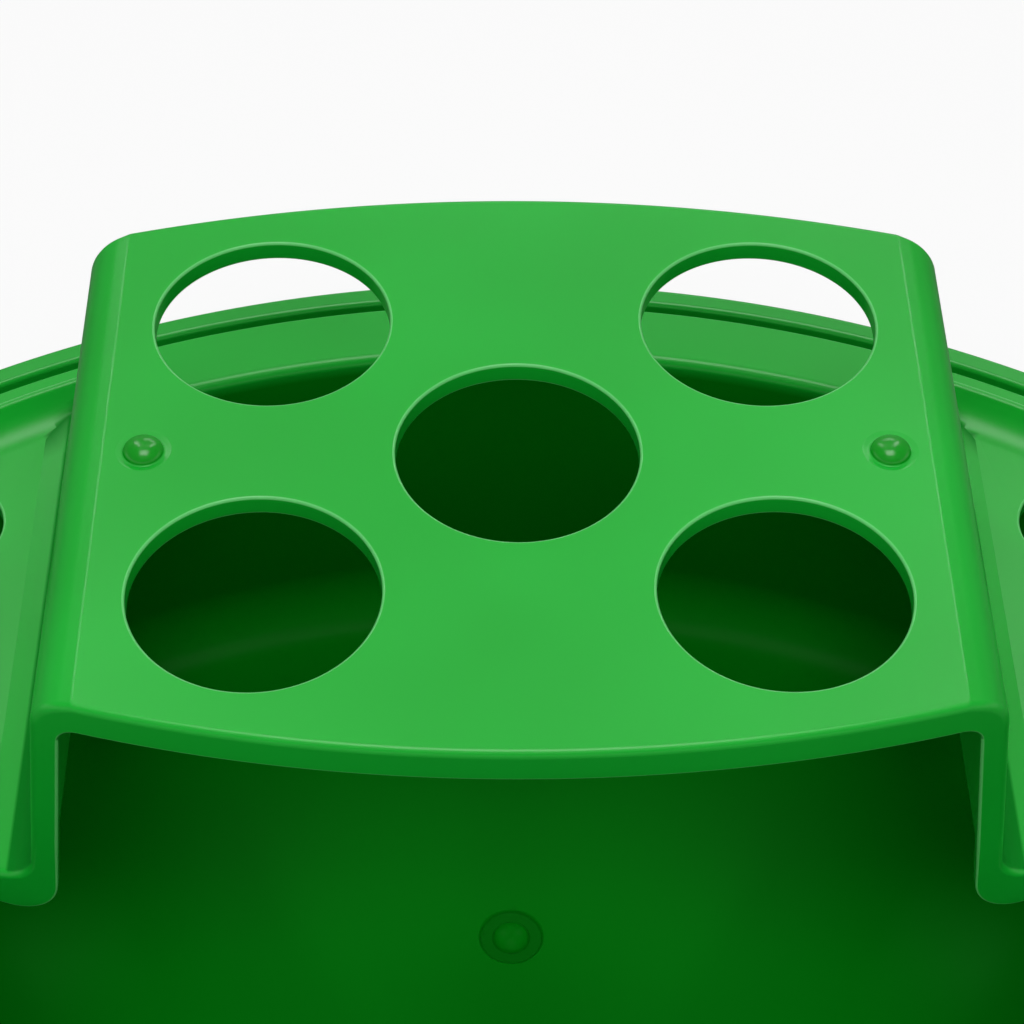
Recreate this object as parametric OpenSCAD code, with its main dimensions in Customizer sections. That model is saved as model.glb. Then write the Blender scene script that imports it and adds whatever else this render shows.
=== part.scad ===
// Hydroponic planter: an oval outer pot, a water basin that drops into it, and a
// planting tray that bridges the basin. Millimetres, +Z up, +Y away from the
// watering side, origin on the standing surface under the middle of the pot.

/* [Oval outline] */
// Length of the pot over its rim, along X
pot_length = 380; // [350:5:440]
// Width of the pot over its rim, along Y
pot_width = 268; // [250:2:290]
// Radius of the long bowed sides of the rim
side_radius = 254; // [235:2:300]

/* [Outer pot] */
// Height of the rim above the standing surface
pot_height = 94; // [84:1:130]
// Wall thickness of the pot
pot_wall = 2.5; // [2:0.25:4]
// Width of the raised band on top of the rim
rim_band = 5.4; // [4:0.2:8]
// Depth of the collar that hangs down outside the rim
collar_depth = 12; // [6:1:25]
// Thickness of that collar
collar_wall = 2.4; // [1.8:0.2:3.2]
// Distance from the rim's outer face to the wall under it
wall_setback = 9.6; // [8:0.2:12]
// How far the wall leans in from the rim to the base
pot_draft = 5.6; // [2:0.2:10]
// Radius of the pot's bottom edge
pot_edge_radius = 6; // [4:0.5:10]
// Height of the foot ring
foot_height = 4; // [2:0.5:8]
// Width of the foot ring
foot_width = 5; // [3:0.5:10]
// Distance from the pot's bottom edge in to the foot ring
foot_setback = 10; // [8:1:20]

/* [Inner basin] */
// Level of the basin's ledge below the top of the rim
ledge_drop = 1; // [0.5:0.5:3]
// Thickness of the basin's ledge
ledge_thickness = 2.2; // [1.8:0.2:3]
// Gap between the rim band and the edge of the ledge
ledge_gap = 1.7; // [0.8:0.1:3]
// Width of the ledge from its outer edge to the basin's opening
ledge_width = 16.5; // [14:0.5:22]
// Radius where the ledge rolls into the basin
ledge_roll = 2.5; // [2:0.5:4]
// Gap between the floor of the pot and the underside of the basin
floor_gap = 4.2; // [1.5:0.1:12]
// Wall and floor thickness of the basin
basin_wall = 2.3; // [2:0.1:3]
// How far the basin's wall leans in from its opening to its floor
basin_draft = 6; // [3:0.5:12]
// Radius between the basin's wall and floor, on the inside
basin_floor_radius = 14; // [8:1:20]

/* [Planting tray] */
// Height of the deck above the ledge
deck_rise = 65; // [45:1:90]
// Thickness of the deck and of the wing plates
plate_thickness = 4.5; // [3:0.25:6]
// Distance of the deck's middle behind the middle of the pot
deck_offset = 15; // [10:1:18]
// Depth of the deck on its middle line
deck_depth = 150.6; // [130:0.2:156]
// Radius of the deck's bowed front and back edges
edge_radius = 311; // [280:1:400]
// Half width of the deck at the outside of its side walls
deck_half_width = 88.8; // [84:0.2:94]
// Horizontal thickness of the side walls
riser_wall = 4.5; // [3:0.25:5]
// Thickness of the side walls along their front and back edges
edge_wall = 5.5; // [5.25:0.25:7]
// Outward lean of the side walls, in degrees
riser_lean = 6.5; // [3:0.5:9]
// Radius of the deck's long top edges
deck_edge_radius = 8.8; // [5:0.2:11]
// Radius inside those edges
deck_inner_radius = 4; // [2:0.5:5]
// Radius of the hollow where a side wall meets a wing
foot_radius = 9.8; // [6:0.2:12]
// Radius under that hollow
foot_under_radius = 12; // [9:0.5:13]
// Height of the turned-down lip along the deck's front and back edges
deck_lip = 7.6; // [5:0.2:12]
// Height of the lip along the front edges of the wings
wing_lip = 9.5; // [6:0.5:14]
// Thickness of those lips
lip_thickness = 3.5; // [2.5:0.25:5]

/* [Tray border] */
// Height of the border above the wing plates
border_height = 6; // [3:0.5:9]
// Width of the border's sloping inner face
border_slope = 5.1; // [3:0.1:8]
// Width of the flat top of the border
border_top = 1.4; // [1:0.1:3]
// Thickness of the border's outer wall where it stands on the ledge
border_wall = 2.2; // [1.6:0.1:3]
// How much of the ledge stays bare outside the border
ledge_bare = 13.2; // [11:0.2:14]
// Clearance between the wing lips and the basin's opening
lip_clearance = 1; // [0.5:0.25:3]

/* [Plant holes] */
// Diameter of the five holes for net cups in the deck
cup_hole = 48; // [36:1:50]
// Distance of the outer holes from the middle, along X
cup_spacing_x = 49.7; // [46:0.1:52]
// Distance of the outer holes from the middle, along Y
cup_spacing_y = 36.7; // [34:0.1:38]
// Diameter of the small hole in each wing
wing_hole = 27; // [16:1:27]
// Distance of the wing holes from the middle, along X
wing_hole_x = 125.6; // [122:0.2:127]
// Distance of the wing holes behind the deck's middle
wing_hole_y = 35.8; // [20:0.2:37]

/* [Moulded pips] */
// Diameter of the two domed pips on the deck
pip_diameter = 8.4; // [5:0.2:10]
// Height of the domes
pip_height = 2.6; // [1.5:0.1:4]
// Distance of the pips from the deck's middle
pip_x = 73.2; // [70:0.2:75]
// Diameter of the shallow dish round each pip
pip_dish = 12; // [10.5:0.5:14]
// Diameter of the dish in the middle of the basin's floor
floor_dish = 15; // [12:0.5:20]
// Depth of the shallow dishes
dish_depth = 0.5; // [0.3:0.1:1]

/* [Hidden] */

$fn = 96;
arc_steps = 8;
through = 1;
overlap = 0.5;

pot_green = [0.05, 0.49, 0.14];
basin_green = [0.07, 0.55, 0.17];
tray_green = [0.16, 0.64, 0.24];

// Oval outline: two side arcs and two end arcs that meet in line
half_length = pot_length / 2;
half_width = pot_width / 2;
side_offset = side_radius - half_width;
end_radius = (pow(side_radius, 2) - pow(half_length, 2) - pow(side_offset, 2))
           / (2 * (side_radius - half_length));
end_offset = half_length - end_radius;
far = 2 * pot_length;
wedge_reach = 4;

// Levels
ledge_z = pot_height - ledge_drop;
shelf_z = ledge_z - ledge_thickness;
basin_floor_z = foot_height + pot_wall + floor_gap + basin_wall;
plate_z = ledge_z + plate_thickness;
border_z = plate_z + border_height;
deck_z = ledge_z + deck_rise;
deck_under_z = deck_z - plate_thickness;

// Distances inward from the rim's outer face
ledge_edge = rim_band + ledge_gap;
opening_edge = ledge_edge + ledge_width;
shelf_end = wall_setback + pot_wall;
border_edge = ledge_edge + ledge_bare;
border_foot = border_edge + border_top + border_slope;
basin_wall_bottom = opening_edge + basin_draft;

// Distance from the deck's middle to the centres of its front and back edges
edge_offset = edge_radius - deck_depth / 2;

// Outer end of the hollow at the foot of a side wall, and the tray's height limits
foot_reach = riser_x(deck_half_width, plate_z) + foot_radius;
lip_z = plate_z - wing_lip;
top_z = deck_z + pip_height;

function unit(v) = v / norm(v);

// Arc of radius r that rounds the corner at p between a and b
function corner(a, p, b, r) =
  let (u = unit(a - p), v = unit(b - p), half = acos(u * v) / 2,
       centre = p + unit(u + v) * r / sin(half),
       s = p + u * r / tan(half) - centre, e = p + v * r / tan(half) - centre,
       from = atan2(s[1], s[0]), turn = atan2(e[1], e[0]) - from,
       sweep = turn > 180 ? turn - 360 : (turn < -180 ? turn + 360 : turn))
  [for (i = [0 : arc_steps]) centre + r * [cos(from + sweep * i / arc_steps),
                                           sin(from + sweep * i / arc_steps)]];

function mirrored(points) = [for (i = [len(points) - 1 : -1 : 0]) [-points[i][0], points[i][1]]];
function reversed(points) = [for (i = [len(points) - 1 : -1 : 0]) points[i]];

// Half width of a side wall's line at height z, for a line that is at x on the deck's top
function riser_x(x, z) = x + (deck_z - z) * tan(riser_lean);

// Upper line of the tray's section, from the middle out over the deck, side wall and wing
function upper_line(reach) =
  let (shoulder = [riser_x(deck_half_width, deck_z), deck_z],
       foot = [riser_x(deck_half_width, plate_z), plate_z],
       end = [reach, plate_z])
  concat([[0, deck_z]], corner([0, deck_z], shoulder, foot, deck_edge_radius),
         corner(shoulder, foot, end, foot_radius), [end]);

// Lower line of the section, with the deck's and the wing's underside at the heights given
function lower_line(reach, wall, deck_under, wing_under) =
  let (inner = deck_half_width - wall,
       shoulder = [riser_x(inner, deck_under), deck_under],
       foot = [riser_x(inner, wing_under), wing_under],
       end = [reach, wing_under])
  concat([[0, deck_under]], corner([0, deck_under], shoulder, foot, deck_inner_radius),
         corner(shoulder, foot, end, foot_under_radius), [end]);

// Area of the two long sides, between the lines where the arcs meet
module side_wedges() {
  polygon([
    [end_offset, 0], [wedge_reach * end_offset, (wedge_reach - 1) * side_offset],
    [-wedge_reach * end_offset, (wedge_reach - 1) * side_offset], [-end_offset, 0],
    [-wedge_reach * end_offset, (1 - wedge_reach) * side_offset],
    [wedge_reach * end_offset, (1 - wedge_reach) * side_offset]
  ]);
}

// Area of one end, between the same lines
module end_wedge(side) {
  polygon([
    [side * end_offset, 0],
    [side * wedge_reach * end_offset, (wedge_reach - 1) * side_offset],
    [side * far, (wedge_reach - 1) * side_offset],
    [side * far, (1 - wedge_reach) * side_offset],
    [side * wedge_reach * end_offset, (1 - wedge_reach) * side_offset]
  ]);
}

// Oval area that lies the given distance inside the rim's outer face
module oval_area(inset) {
  for (side = [-1, 1])
    translate([side * end_offset, 0]) circle(end_radius - inset);
  intersection() {
    translate([0, -side_offset]) circle(side_radius - inset);
    translate([0, side_offset]) circle(side_radius - inset);
    side_wedges();
  }
}

// A tall block over an area
module prism(low, high) {
  translate([0, 0, low]) linear_extrude(high - low) children();
}

// Carries a section round the oval; x = 0 of the section is the rim's outer face
module round_oval() {
  for (side = [-1, 1]) {
    intersection() {
      translate([side * end_offset, 0, 0])
        rotate_extrude() translate([end_radius, 0]) children();
      prism(-through, top_z) end_wedge(side);
    }
    intersection() {
      translate([0, -side * side_offset, 0])
        rotate_extrude() translate([side_radius, 0]) children();
      prism(-through, top_z) intersection() {
        side_wedges();
        translate([-far, side > 0 ? 0 : -far]) square([2 * far, far]);
      }
    }
  }
}

// Full turn of the part of a section that lies within the given radius
module turned(radius) {
  rotate_extrude()
    intersection() {
      translate([radius, 0]) children();
      translate([0, -through]) square([radius, top_z]);
    }
}

// Solid oval with the section's outline; x = 0 of the section is the rim's outer face
module oval_solid() {
  for (side = [-1, 1])
    translate([side * end_offset, 0, 0]) turned(end_radius) children();
  intersection() {
    translate([0, -side_offset, 0]) turned(side_radius) children();
    translate([0, side_offset, 0]) turned(side_radius) children();
    prism(-through, top_z) side_wedges();
  }
}

// Outline of the pot's wall, up to the band on top of the rim
module pot_outside() {
  bottom = [-wall_setback - pot_draft, foot_height];
  middle = [-far, foot_height];
  top = [-wall_setback, shelf_z - pot_wall];
  band = -collar_wall + overlap;
  polygon(concat(
    [middle], corner(middle, bottom, top, pot_edge_radius), [top],
    [[band, top[1]], [band, pot_height], [-far, pot_height]]
  ));
}

// Outline of the space in the pot, with the shelf for the basin and the rounded band
module pot_inside() {
  shoulder = rim_band / 4;
  middle = [-far, foot_height + pot_wall];
  bottom = [-wall_setback - pot_draft - pot_wall, middle[1]];
  shelf = [-shelf_end, shelf_z];
  polygon(concat(
    [middle], corner(middle, bottom, shelf, pot_edge_radius - pot_wall), [shelf],
    [[-rim_band, shelf_z]],
    corner([-rim_band, shelf_z], [-rim_band, pot_height], [0, pot_height], shoulder),
    [[-rim_band + shoulder, pot_height + through], [-far, pot_height + through]]
  ));
}

// Outline of the collar and of the band's outer edge
module collar_outside() {
  low = pot_height - collar_depth;
  polygon(concat(
    [[-far, low], [0, low]],
    corner([0, low], [0, pot_height], [-far, pot_height], rim_band / 4),
    [[-far, pot_height]]
  ));
}

module outer_pot() {
  foot_edge = wall_setback + pot_draft + foot_setback;
  color(pot_green) {
    difference() {
      oval_solid() pot_outside();
      oval_solid() pot_inside();
    }
    difference() {
      oval_solid() collar_outside();
      prism(foot_height, pot_height + through) oval_area(collar_wall);
    }
    prism(0, foot_height + overlap)
      difference() {
        oval_area(foot_edge);
        oval_area(foot_edge + foot_width);
      }
  }
}

// Outline of the basin's wall and ledge
module basin_outside() {
  middle = [-far, basin_floor_z - basin_wall];
  bottom = [-basin_wall_bottom + basin_wall, middle[1]];
  top = [-opening_edge + basin_wall, shelf_z];
  low = [-ledge_edge, shelf_z];
  edge = [-ledge_edge, ledge_z];
  polygon(concat(
    [middle], corner(middle, bottom, top, basin_floor_radius + basin_wall), [top, low],
    corner(low, edge, [-far, ledge_z], ledge_thickness / 4), [[-far, ledge_z]]
  ));
}

// Outline of the space in the basin, with the rolled edge between the ledge and the wall
module basin_inside() {
  middle = [-far, basin_floor_z];
  bottom = [-basin_wall_bottom, basin_floor_z];
  top = [-opening_edge, ledge_z];
  polygon(concat(
    [middle], corner(middle, bottom, top, basin_floor_radius),
    corner(bottom, top, [-ledge_edge, ledge_z], ledge_roll),
    [[-opening_edge + ledge_roll, ledge_z + through], [-far, ledge_z + through]]
  ));
}

// Shallow dish of the given diameter in a surface at z = 0
module dish(diameter) {
  ball = (pow(diameter / 2, 2) + pow(dish_depth, 2)) / (2 * dish_depth);
  translate([0, 0, ball - dish_depth]) sphere(ball);
}

// Low dome that stands in a dish
module dome(diameter, height) {
  ball = (pow(diameter / 2, 2) + pow(height, 2)) / (2 * height);
  intersection() {
    translate([0, 0, height - dish_depth - ball]) sphere(ball);
    translate([0, 0, -dish_depth - through])
      cylinder(h = height + 2 * through, d = diameter);
  }
}

module inner_basin() {
  color(basin_green) {
    difference() {
      oval_solid() basin_outside();
      oval_solid() basin_inside();
      translate([0, 0, basin_floor_z]) dish(floor_dish);
    }
    translate([0, 0, basin_floor_z]) dome(pip_diameter, pip_height);
  }
}

// Area inside the tray's bowed front edge, moved in by the given distance
module front_area(inset) {
  translate([0, deck_offset + edge_offset]) circle(edge_radius - inset);
}

// Area of the deck between its bowed front and back edges
module deck_area(inset) {
  intersection() {
    front_area(inset);
    translate([0, deck_offset - edge_offset]) circle(edge_radius - inset);
  }
}

// The tray's section drawn along Y
module section_run(reach, wall, deck_under, wing_under) {
  upper = upper_line(reach);
  lower = lower_line(reach, wall, deck_under, wing_under);
  translate([0, deck_offset, 0])
    rotate([90, 0, 0])
      linear_extrude(pot_width, center = true)
        polygon(concat(mirrored(upper), upper, reversed(lower), mirrored(reversed(lower))));
}

// Area that lies at least x from the middle, on both sides
module beside(x) {
  for (side = [-1, 1])
    translate([side * (x + far / 2), 0]) square(far, center = true);
}

// Section of the border, standing on the ledge, with or without the hollow under its slope
module border_section(hollow) {
  slope = [border_slope, border_height];
  skin = border_wall * [slope[1], -slope[0]] / norm(slope);
  foot = [-border_foot, plate_z];
  wall_in = -border_edge - border_wall;
  slope_in = foot + skin;
  rise = (wall_in - slope_in[0]) * slope[1] / slope[0];
  inside = [[wall_in, ledge_z], [wall_in, slope_in[1] + rise], slope_in,
            [slope_in[0] - border_wall / 2, ledge_z]];
  polygon(concat(
    [foot, foot + slope, [-border_edge, border_z], [-border_edge, ledge_z]],
    hollow ? inside : [],
    [[-border_foot, ledge_z]]
  ));
}

// Strip along the tray's front edge
module front_strip() {
  intersection() {
    difference() {
      front_area(0);
      front_area(lip_thickness);
    }
    translate([0, deck_offset - far / 2]) square([2 * far, far], center = true);
  }
}

// Deck and side walls, with the turned-in lips along their bowed edges
module bridge() {
  intersection() {
    section_run(foot_reach, riser_wall, deck_under_z, ledge_z);
    prism(lip_z, top_z) deck_area(0);
  }
  intersection() {
    section_run(foot_reach, edge_wall, deck_z - deck_lip, lip_z);
    union() {
      prism(lip_z, top_z) front_strip();
      prism(ledge_z, top_z) translate([0, 2 * deck_offset]) mirror([0, 1]) front_strip();
    }
  }
}

// Low stubs that carry the side walls back to the border
module side_stubs() {
  intersection() {
    section_run(foot_reach, riser_wall, deck_under_z, ledge_z);
    prism(ledge_z, border_z) intersection() {
      front_area(0);
      oval_area(border_edge + border_top);
    }
  }
}

// Wing plates, with a lip along their front edges that hangs inside the basin's opening
module wings() {
  prism(ledge_z, plate_z) intersection() {
    front_area(0);
    oval_area(border_foot - overlap);
    beside(foot_reach - overlap);
  }
  prism(lip_z, plate_z) intersection() {
    front_strip();
    oval_area(opening_edge + lip_clearance);
    beside(foot_reach - overlap);
  }
}

// Border that stands on the ledge round the back and the ends, closed at its front ends
module border() {
  intersection() {
    round_oval() border_section(true);
    prism(ledge_z, border_z) intersection() {
      front_area(0);
      beside(riser_x(deck_half_width, plate_z) - riser_wall / 2);
    }
  }
  intersection() {
    round_oval() border_section(false);
    prism(ledge_z, border_z) intersection() {
      front_strip();
      beside(foot_reach);
    }
  }
}

module planting_tray() {
  color(tray_green) {
    difference() {
      union() {
        bridge();
        side_stubs();
        wings();
        border();
      }
      for (place = [[0, 0], [-1, -1], [1, -1], [-1, 1], [1, 1]])
        translate([place[0] * cup_spacing_x, deck_offset + place[1] * cup_spacing_y,
                   deck_under_z - through])
          cylinder(h = plate_thickness + 2 * through, d = cup_hole);
      for (side = [-1, 1]) {
        translate([side * wing_hole_x, deck_offset + wing_hole_y, ledge_z - through])
          cylinder(h = plate_thickness + 2 * through, d = wing_hole);
        translate([side * pip_x, deck_offset, deck_z]) dish(pip_dish);
      }
    }
    for (side = [-1, 1])
      translate([side * pip_x, deck_offset, deck_z]) dome(pip_diameter, pip_height);
  }
}

outer_pot();
inner_basin();
planting_tray();
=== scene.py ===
import math

import bmesh
import bpy
import numpy as np
from mathutils import Matrix, Vector
from mathutils.geometry import delaunay_2d_cdt


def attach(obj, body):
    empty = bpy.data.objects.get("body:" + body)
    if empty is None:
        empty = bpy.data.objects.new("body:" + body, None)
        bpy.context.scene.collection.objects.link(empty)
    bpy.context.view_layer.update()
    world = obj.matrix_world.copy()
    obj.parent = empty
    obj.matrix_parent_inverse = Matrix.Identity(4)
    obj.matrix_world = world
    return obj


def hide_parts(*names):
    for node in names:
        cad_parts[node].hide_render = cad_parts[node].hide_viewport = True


# Hydroponic planter in glossy moulded green plastic: an oval pot, a basin that drops
# into it and a bridge-shaped planting tray. Shapes are worked out in millimetres in
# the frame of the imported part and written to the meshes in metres.

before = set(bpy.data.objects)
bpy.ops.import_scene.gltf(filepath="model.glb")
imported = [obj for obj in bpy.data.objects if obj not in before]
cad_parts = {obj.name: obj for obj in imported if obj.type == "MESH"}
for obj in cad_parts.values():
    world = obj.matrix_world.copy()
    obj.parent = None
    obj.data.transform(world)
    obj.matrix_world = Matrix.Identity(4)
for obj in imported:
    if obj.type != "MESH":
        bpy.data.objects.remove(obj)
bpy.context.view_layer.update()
millimetre = 0.001
weldDistance = 0.004  # millimetres
smoothAngle = 40  # degrees


# Line through the points with each inner corner replaced by an arc of its radius. The arc's
# centre lies on the corner's bisector, radius / sin(half angle) from it. A corner without a
# radius or a bend stays one point.
def addCorners(points, radii, steps=8):
    points = [np.array(p, float) for p in points]
    line = [points[0]]
    for before, corner, after, radius in zip(points, points[1:], points[2:], radii):
        back = (before - corner) / np.linalg.norm(before - corner)
        on = (after - corner) / np.linalg.norm(after - corner)
        half = math.acos(np.clip(back @ on, -1, 1)) / 2
        if radius <= 0 or half > math.pi / 2 - 1e-4:
            line.append(corner)
            continue
        centre = corner + (back + on) / np.linalg.norm(back + on) * radius / math.sin(half)
        start = corner + back * radius / math.tan(half) - centre
        end = corner + on * radius / math.tan(half) - centre
        angle = math.atan2(start[1], start[0])
        turn = (math.atan2(end[1], end[0]) - angle + math.pi) % (2 * math.pi) - math.pi
        t = angle + turn * np.linspace(0, 1, steps + 1)
        line.extend(centre + radius * np.stack([np.cos(t), np.sin(t)], 1))
    line.append(points[-1])
    return np.array(line)


# Collects grids and flat faces, in millimetres, and welds them into one mesh.
class Shell:
    def __init__(self):
        self.points, self.faces, self.count = [], [], 0

    def addPoints(self, points):
        points = np.asarray(points, float).reshape(-1, 3)
        self.points.append(points)
        start, self.count = self.count, self.count + len(points)
        return start

    # Quads between neighbouring rows and columns of an array of points. A closed grid's last
    # row joins its first.
    def addGrid(self, grid, closed=False):
        rows, columns = grid.shape[:2]
        start = self.addPoints(grid)
        index = start + np.arange(rows * columns).reshape(rows, columns)
        if closed:
            index = np.concatenate([index, index[:1]], 0)
        a, b, c, d = index[:-1, :-1], index[1:, :-1], index[1:, 1:], index[:-1, 1:]
        quads = np.stack([a, b, c, d], -1).reshape(-1, 4)
        self.faces.extend(quads.tolist())

    # Triangles that fill an outline at one height and leave out its round holes. A triangle lies
    # in a hole where all its corners come from that hole's loop.
    def addFlat(self, outline, z, up, holes=()):
        loops = [np.asarray(loop)[:, :2] for loop in (outline, *holes)]
        edges, owner, base = [], [], 0
        for number, loop in enumerate(loops):
            count = len(loop)
            edges += [(base + i, base + (i + 1) % count) for i in range(count)]
            owner += [number] * count
            base += count
        flat = np.concatenate(loops)
        found = delaunay_2d_cdt([Vector(p) for p in flat], edges, [], 1, 1e-5)
        made = np.array([tuple(v) for v in found[0]])
        source = [owner[ids[0]] if ids else 0 for ids in found[3]]
        start = self.addPoints(np.column_stack([made, np.full(len(made), z)]))
        for face in found[2]:
            kinds = {source[i] for i in face}
            if len(kinds) == 1 and 0 not in kinds:
                continue
            corners = made[face]
            a, b = corners[1] - corners[0], corners[2] - corners[0]
            area = a[0] * b[1] - a[1] * b[0]
            face = face if (area > 0) == up else face[::-1]
            self.faces.append([start + i for i in face])

    # One flat face with the given corners.
    def addPolygon(self, points):
        start = self.addPoints(points)
        self.faces.append(list(range(start, self.count)))

    # Makes the object and welds the points that lie together.
    def build(self, name):
        points = np.concatenate(self.points)
        mesh = bpy.data.meshes.new(name)
        mesh.from_pydata((points * millimetre).tolist(), [], self.faces)
        made = bpy.data.objects.new(name, mesh)
        bpy.context.scene.collection.objects.link(made)
        welder = made.modifiers.new("weld", "WELD")
        welder.merge_threshold = weldDistance * millimetre
        bakeModifiers(made)
        return made


# Replaces the piece's mesh with its evaluated mesh and drops the modifiers.
def bakeModifiers(piece):
    graph = bpy.context.evaluated_depsgraph_get()
    baked = bpy.data.meshes.new_from_object(piece.evaluated_get(graph))
    baked.name = piece.name
    piece.modifiers.clear()
    piece.data = baked


# Smooth shading up to an angle, with flat faces deciding the normals at their edges.
def smoothShade(piece):
    mesh = piece.data
    mesh.shade_smooth()
    mesh.set_sharp_from_angle(angle=math.radians(smoothAngle))
    weighted = piece.modifiers.new("weighted normals", "WEIGHTED_NORMAL")
    weighted.mode = "FACE_AREA"
    weighted.weight = 50
    weighted.keep_sharp = True


# Oval outline of the pot's rim, from which the basin and the tray's border are measured inwards
oval = {
    "length": 380,
    "width": 268,
    "sideRadius": 254,
    "steps": 72,  # points on each of the four arcs
}


# Centre, radius and direction for points round the oval: an arc at each end and a bowed arc
# along each side, which meet in line on the line through their centres.
def ovalPath():
    halfLength, halfWidth = oval["length"] / 2, oval["width"] / 2
    side = oval["sideRadius"]
    sideOffset = side - halfWidth
    end = (side**2 - halfLength**2 - sideOffset**2) / (2 * (side - halfLength))
    endOffset = halfLength - end
    split = math.atan2(sideOffset, endOffset)
    arcs = [
        ((endOffset, 0), end, -split, split),
        ((0, -sideOffset), side, split, math.pi - split),
        ((-endOffset, 0), end, math.pi - split, math.pi + split),
        ((0, sideOffset), side, math.pi + split, 2 * math.pi - split),
    ]
    centres, radii, angles = [], [], []
    for centre, radius, start, stop in arcs:
        t = np.linspace(start, stop, oval["steps"], endpoint=False)
        centres.append(np.tile(centre, (len(t), 1)))
        radii.append(np.full(len(t), radius))
        angles.append(t)
    return np.concatenate(centres), np.concatenate(radii), np.concatenate(angles)


# Carries a section of (distance inside the rim's outer face, height) round the oval.
def sweepOval(section):
    centres, radii, angles = ovalPath()
    direction = np.stack([np.cos(angles), np.sin(angles)], 1)
    reach = radii[:, None] - section[None, :, 0]
    flat = centres[:, None, :] + reach[..., None] * direction[:, None, :]
    height = np.broadcast_to(section[None, :, 1], reach.shape)
    return np.concatenate([flat, height[..., None]], -1)


# Carries a section of (radius, height) round a vertical axis.
def turnRound(section, centre=(0, 0), steps=96):
    t = np.linspace(0, 2 * math.pi, steps, endpoint=False)
    x = centre[0] + section[None, :, 0] * np.cos(t)[:, None]
    y = centre[1] + section[None, :, 0] * np.sin(t)[:, None]
    return np.stack([x, y, np.broadcast_to(section[None, :, 1], x.shape)], -1)


# Outer pot: raised rim band with a hanging collar, shelf for the basin, wall and foot ring
pot = {
    "height": 94,
    "wall": 2.5,
    "rimBand": 5.4,
    "rimRound": 1.3,
    "collarDepth": 12,
    "collarWall": 2.4,
    "setback": 9.6,
    "draft": 5.6,
    "edgeRadius": 6,
    "footHeight": 4,
    "footWidth": 5,
    "footSetback": 10,
    "shelf": 90.8,
    "edge": 0.6,
    "floorEdge": 40,
}


# The pot's section starts on the floor inside, climbs the wall to the shelf and the rim band,
# turns down the collar and the outside of the wall, and ends under the foot ring.
def makePot():
    top, wall, edge = pot["height"], pot["wall"], pot["edge"]
    bottom = pot["setback"] + pot["draft"]
    foot = bottom + pot["footSetback"]
    collarLow = top - pot["collarDepth"]
    under = pot["shelf"] - wall
    floor = pot["footHeight"] + wall
    corners = [
        ((pot["floorEdge"], floor), 0),
        ((bottom + wall, floor), pot["edgeRadius"] - wall),
        ((pot["setback"] + wall, pot["shelf"]), edge),
        ((pot["rimBand"], pot["shelf"]), edge),
        ((pot["rimBand"], top), pot["rimRound"]),
        ((0, top), pot["rimRound"]),
        ((0, collarLow), edge),
        ((pot["collarWall"], collarLow), edge),
        ((pot["collarWall"], under), 2 * edge),
        ((pot["setback"], under), 2 * edge),
        ((bottom, pot["footHeight"]), pot["edgeRadius"]),
        ((foot, pot["footHeight"]), edge),
        ((foot, 0), 2 * edge),
        ((foot + pot["footWidth"], 0), 2 * edge),
        ((foot + pot["footWidth"], pot["footHeight"]), edge),
        ((pot["floorEdge"], pot["footHeight"]), 0),
    ]
    section = addCorners([c[0] for c in corners], [c[1] for c in corners[1:-1]])
    shell = Shell()
    grid = sweepOval(section)
    shell.addGrid(grid, closed=True)
    shell.addFlat(grid[:, 0], floor, up=True)
    shell.addFlat(grid[:, -1], pot["footHeight"], up=False)
    return shell.build("outerPot")


# Inner basin: flat ledge that rolls into a leaning wall, round floor edge, moulded boss
basin = {
    "ledge": 93,
    "thickness": 2.2,
    "ledgeEdge": 7.1,
    "opening": 23.6,
    "roll": 2.5,
    "depth": 80,
    "wall": 2.3,
    "draft": 6,
    "floorRadius": 14,
    "edge": 0.5,
    "floorEdge": 52,
    "boss": {"diameter": 8.4, "height": 1.8, "dish": 15, "depth": 0.7, "slope": 0.6},
}


# Section of a dome in a shallow dish, from the axis out to the flat surface. The dome is
# radius sin t wide and height cos t high, and ends just above the dish's floor in a fillet. The
# dish rises to the surface over its slope.
def domeSection(diameter, height, dish, depth, slope, level):
    radius, rim, floor = diameter / 2, dish / 2, level - depth
    fillet, gap, bend = 0.25, 0.1, 0.8 * slope
    t = np.linspace(0, 0.46 * math.pi, 14)
    crown = np.stack([radius * np.sin(t), floor + height * np.cos(t)], 1)
    corners = [crown[-1], (radius + gap, floor), (rim - slope, floor), (rim, level), (rim + slope, level)]
    dishLine = addCorners(corners, [fillet, bend, bend], 6)
    return np.concatenate([crown, dishLine[1:]])


# The basin's section starts on the floor, climbs the leaning wall over the rolled edge to the
# ledge, and comes back underneath. The boss stands in a round hole of the floor.
def makeBasin():
    level, under = basin["ledge"], basin["ledge"] - basin["thickness"]
    floor = level - basin["depth"]
    low, out = floor - basin["wall"], basin["opening"] + basin["draft"]
    corners = [
        ((basin["floorEdge"], floor), 0),
        ((out, floor), basin["floorRadius"]),
        ((basin["opening"], level), basin["roll"]),
        ((basin["ledgeEdge"], level), basin["edge"]),
        ((basin["ledgeEdge"], under), basin["edge"]),
        ((basin["opening"] - basin["wall"], under), 2 * basin["edge"]),
        ((out - basin["wall"], low), basin["floorRadius"] + basin["wall"]),
        ((basin["floorEdge"], low), 0),
    ]
    section = addCorners([c[0] for c in corners], [c[1] for c in corners[1:-1]], 12)
    shell = Shell()
    grid = sweepOval(section)
    shell.addGrid(grid, closed=True)
    boss = turnRound(domeSection(*basin["boss"].values(), floor))
    shell.addGrid(boss, closed=True)
    shell.addFlat(grid[:, 0], floor, up=True, holes=[boss[:, -1]])
    shell.addFlat(grid[:, -1], low, up=False)
    return shell.build("innerBasin")


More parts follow.
